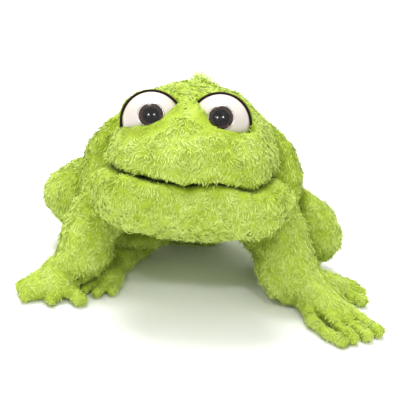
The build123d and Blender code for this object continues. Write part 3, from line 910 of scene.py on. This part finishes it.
def sleeve_lining():
    """The lining of the hand's sleeve, a thin tube with lengthwise wrinkles, cut round at its head end."""
    creases = gathers(11, 2.0)
    fine = gathers(26, 4.0)
    start = (LINING_START_R**2 - 45.5**2) ** 0.5
    end = CUFF_SEAT_START - 0.4
    outer, inner = [], []
    for t in np.linspace(0, 1, 25):
        along = start + (end - start) * t
        crease = 0.28 * creases * sin(pi * min(1, 1.4 * t + 0.1))
        wave = crease + 0.12 * fine + 0.12 * np.sin(9 * t + 5 * TURNS)
        outer.append(sleeve_ring(LINING_OUTER_R + wave, along))
        inner.append(sleeve_ring(LINING_R + wave, along))
    cloth_tube("sleeve_lining", outer + inner[::-1], LINING, "torso", "hand_sleeve")


SEAT_PROFILE = (
    # share of the half width, share of the half height
    (0.04, 0.72),
    (0.5, 0.70),
    (0.78, 0.58),
    (0.86, 0.42),
    (0.92, 0.52),
    (0.98, 0.40),
    (1.0, 0.2),
    (1.0, -0.6),
    (0.97, -0.95),
    (0.5, -0.98),
    (0.04, -0.98),
)


def seat():
    """The small flat panel under the torso: a low crowned pad with a turned edge and topstitching."""
    low, high = (np.array(v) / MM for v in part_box("seat_panel"))
    middle, half = (low + high) / 2, (high - low) / 2
    points = []
    for reach, height in SEAT_PROFILE:
        stitched = 0.8 < reach < 0.97 and height > 0
        ripple = 0.03 * np.sin(36 * TURNS) if stitched else np.zeros(SPOKES)
        unit_ring = np.stack((reach * np.cos(TURNS), reach * np.sin(TURNS), height + ripple), 1)
        points.append(middle + half * unit_ring)
    cloth_tube("seat_pad", points, SEAT_FELT, "torso", "seat_panel")


def mouth_felt(name, node, bottom, body, seed):
    """The felt glued to a board of the mouth: a thin half oval, faintly cockled, with a soft edge."""
    steps, rows = 61, 22
    half_width, depth, rear = 65.8, 81.8, -2.8
    turn = np.linspace(0, pi, steps)
    top, base = [], []
    for row in range(rows + 1):
        reach = max(row / rows, 0.02)
        x = half_width * reach * np.cos(turn)
        y = rear - depth * reach * np.sin(turn)
        cockle = 0.10 * np.sin(x / 5.1 + seed) * np.cos(y / 6.3) + 0.05 * np.sin(x / 1.9 + y / 2.3)
        edge = 0.3 * max(0, (reach - 0.965) / 0.035)
        for layer, level in ((top, 1.05 - edge), (base, 0.12 + edge)):
            z = bottom + level + cockle
            layer.append(np.stack([on_head(*q) for q in zip(x, y, z)]))
    rings = top + base[::-1]
    verts = np.concatenate(rings)
    quads = []
    here = np.arange(steps - 1)
    for k in range(len(rings)):
        a, b = k * steps, (k + 1) % len(rings) * steps
        quads.append(np.stack((a + here, a + here + 1, b + here + 1, b + here), 1))
    near = np.arange(rows)
    across_fold = np.stack((near, near + 1, 2 * rows - near, 2 * rows + 1 - near), 1) * steps
    quads.append(across_fold)
    quads.append(across_fold[:, ::-1] + steps - 1)
    felt = make_mesh(name, verts, outward(verts, np.concatenate(quads)), DARK_FELT)
    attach(felt, body)
    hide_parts(node)


def pocket_bag(name, node, body, size, bottom, seed):
    """A cloth pocket for fingers or thumb, open at the rear, soft-cornered and faintly creased."""
    width, depth, height = size
    spokes = spokes_of(96)
    c, s = np.cos(spokes), np.sin(spokes)
    across, up = np.sign(c) * np.abs(c) ** 0.45, np.sign(s) * np.abs(s) ** 0.45
    outer, inner = [], []
    for t in np.linspace(0, 1, 33) ** 0.8:
        shrink = max(max(1 - t**7, 1e-6) ** (1 / 3.5), 0.02)
        for layer, wall in ((outer, 0.15), (inner, 1.0)):
            crease = 0.12 * np.sin(7 * spokes + 9 * t + seed)
            x = (width / 2 - wall + crease) * shrink * across
            z = bottom + height / 2 + (height / 2 - wall + crease) * shrink * up
            y = np.full(len(spokes), -6.2 - (depth - 0.5 - wall) * t)
            layer.append(np.stack([on_head(*q) for q in zip(x, y, z)]))
    cloth_tube(name, outer + inner[::-1], LINING, body, node)


# ---------------------------------------------------------------- cloth, plastic and lens
DARK_FELT = cloth_material("mouth_felt", (0.014, 0.020, 0.005), (0.034, 0.048, 0.010), 400, 0.95, 0.03)
LINING = cloth_material("lining_cloth", (0.12, 0.20, 0.03), (0.18, 0.28, 0.05), 500)
HEM_CLOTH = cloth_material("hem_cloth", (0.24, 0.34, 0.04), (0.36, 0.48, 0.07), 650)
THREAD = cloth_material("thread", (0.30, 0.42, 0.06), (0.46, 0.58, 0.14), 1500)
SEAT_FELT = cloth_material("seat_felt", (0.30, 0.42, 0.05), (0.42, 0.56, 0.08), 500)
BOARD = plastic_material("board_sheet", (0.012, 0.016, 0.006), (0.022, 0.028, 0.010), 0.8)
ELASTIC = cloth_material("elastic", (0.6, 0.6, 0.55), (0.8, 0.8, 0.75), 700)
WASHER = plastic_material("washer_plastic", (0.02, 0.02, 0.02), (0.05, 0.05, 0.05), 0.4)
EYE_WHITE = plastic_material("eye_white", (0.60, 0.535, 0.475), (0.68, 0.625, 0.575), 0.35, coat=0.2)
EYE_IRIS = plastic_material("eye_iris", (0.050, 0.022, 0.014), (0.170, 0.090, 0.060), 0.5, 500, 0.0, 0.1)
EYE_PUPIL = plastic_material("eye_pupil", (0.004, 0.004, 0.004), (0.010, 0.009, 0.008), 0.5, 40, 0.0, 0.02)
PIPING = cloth_material("eye_piping", (0.008, 0.003, 0.004), (0.030, 0.012, 0.014), 900, 0.6, 0.05)


def lens_material():
    """Clear plastic, just rough enough that the windows show in it as soft spots."""
    material, _, shader = node_material("eye_lens")
    shader.inputs["Transmission Weight"].default_value = 1.0
    shader.inputs["Roughness"].default_value = 0.11
    shader.inputs["IOR"].default_value = 1.32
    return material


EYE_LENS = lens_material()
LENS_PROUD = 0.12  # how far the lens stands over the globe
LENS_SUNK = 0.25  # how far its inner face lies below


def lens_dome(side):
    """The clear cap over iris and pupil: a thin round shell on the globe's own curve."""
    rows, spokes, half_angle = 10, 48, radians(28)
    outer_r, inner_r = EYE_R + LENS_PROUD, EYE_R - LENS_SUNK
    turns = spokes_of(spokes)
    ring = np.cos(turns)[:, None] * ACROSS + np.sin(turns)[:, None] * np.cross(ACROSS, GAZE)
    here, after = np.arange(spokes), np.roll(np.arange(spokes), -1)
    steps = [(outer_r, row) for row in range(1, rows + 1)] + [(inner_r, row) for row in range(rows, 0, -1)]
    verts, quads = [], []
    for k, (radius, row) in enumerate(steps):
        angle = half_angle * row / rows
        verts.append(EYES[side] + radius * (cos(angle) * GAZE + sin(angle) * ring))
        if k:
            a, b = (k - 1) * spokes, k * spokes
            quads.append(np.stack((a + here, b + here, b + after, a + after), 1))
    pole = np.full(spokes, len(steps) * spokes)
    last = (len(steps) - 1) * spokes
    verts.append(np.array([EYES[side] + outer_r * GAZE, EYES[side] + inner_r * GAZE]))
    outer_cap = np.stack((pole, here, after), 1)
    inner_cap = np.stack((pole + 1, last + after, last + here), 1)
    tris = np.concatenate((outer_cap, inner_cap))
    dome = make_mesh(f"{side}_lens_dome", np.concatenate(verts), np.concatenate(quads), EYE_LENS, tris)
    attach(dome, "head")
    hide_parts(f"{side}_eye_lens")


# ---------------------------------------------------------------- CAD nodes that stay
NODE_MATERIALS = {
    "eye_globe": EYE_WHITE,
    "eye_iris": EYE_IRIS,
    "eye_pupil": EYE_PUPIL,
    "eye_washer": WASHER,
    "eye_rim": PIPING,
    "board": BOARD,
    "fold_cord": LINING,
    "cuff_elastic": ELASTIC,
}


def paint_nodes():
    """A material on each CAD node whose name holds one of the words above."""
    for name, obj in frame["nodes"].items():
        for part, material in NODE_MATERIALS.items():
            if part in name:
                obj.data.materials.clear()
                obj.data.materials.append(material)


# ---------------------------------------------------------------- studio
def studio():
    """White paper and a bright, even room, with two small windows that shine in the eyes."""
    floor_mesh = bpy.data.meshes.new("floor")
    half = 4.0
    floor_mesh.from_pydata(
        [(-half, -half, 0), (half, -half, 0), (half, half, 0), (-half, half, 0)], [], [(0, 1, 2, 3)]
    )
    floor = bpy.data.objects.new("floor", floor_mesh)
    bpy.context.scene.collection.objects.link(floor)
    material, _, shader = node_material("floor_paper")
    shader.inputs["Base Color"].default_value = (0.97, 0.97, 0.97, 1)
    shader.inputs["Roughness"].default_value = 0.9
    floor_mesh.materials.append(material)

    world = bpy.data.worlds.new("studio")
    bpy.context.scene.world = world
    world.use_nodes = True
    sky = world.node_tree.nodes["Background"]
    sky.inputs["Color"].default_value = (1, 1, 1, 1)
    sky.inputs["Strength"].default_value = 0.84

    aim = (0, -0.1, 0.1)

    def area(name, place, size, power):
        light = bpy.data.lights.new(name, "AREA")
        light.size = size
        light.energy = power
        lamp = bpy.data.objects.new(name, light)
        lamp.location = place
        lamp.rotation_euler = (Vector(aim) - Vector(place)).to_track_quat("-Z", "Y").to_euler()
        bpy.context.scene.collection.objects.link(lamp)

    area("top", (-0.25, 0.3, 1.6), 1.0, 28)
    area("left_window", (-0.40, -1.45, 1.33), 0.10, 5)
    area("right_window", (0.31, -1.40, 1.40), 0.10, 5)


def camera():
    """At the photograph's angle: from straight ahead, 22 degrees above, leaning 5 degrees."""
    aim = Vector((0.009, -0.120, 0.096))
    distance = 1.15
    frame_width = 0.36
    place = aim + distance * Vector((0, -cos(CAMERA_RISE), sin(CAMERA_RISE)))
    data = bpy.data.cameras.new("camera")
    data.sensor_width = 36
    data.lens = 36 * distance / frame_width
    cam = bpy.data.objects.new("camera", data)
    cam.matrix_world = (
        Matrix.Translation(place)
        @ (aim - place).to_track_quat("-Z", "Y").to_matrix().to_4x4()
        @ Matrix.Rotation(radians(5), 4, "Z")
    )
    bpy.context.scene.collection.objects.link(cam)
    bpy.context.scene.camera = cam


skins()
for side in SIDES:
    lens_dome(side)
paint_nodes()
cuff()
cuff_stitches()
sleeve_lining()
seat()
mouth_felt("palate_felt", "palate_lining", 0.3, "head", 0.0)
mouth_felt("jaw_felt", "jaw_lining", -1.5, "jaw", 2.0)
pocket_bag("finger_bag", "finger_pocket", "head", (94, 70, 22), 3.5, 0.0)
pocket_bag("thumb_bag", "thumb_pocket", "jaw", (38, 58, 27), -30.5, 2.0)
studio()
camera()
bpy.context.scene.view_settings.view_transform = "Standard"
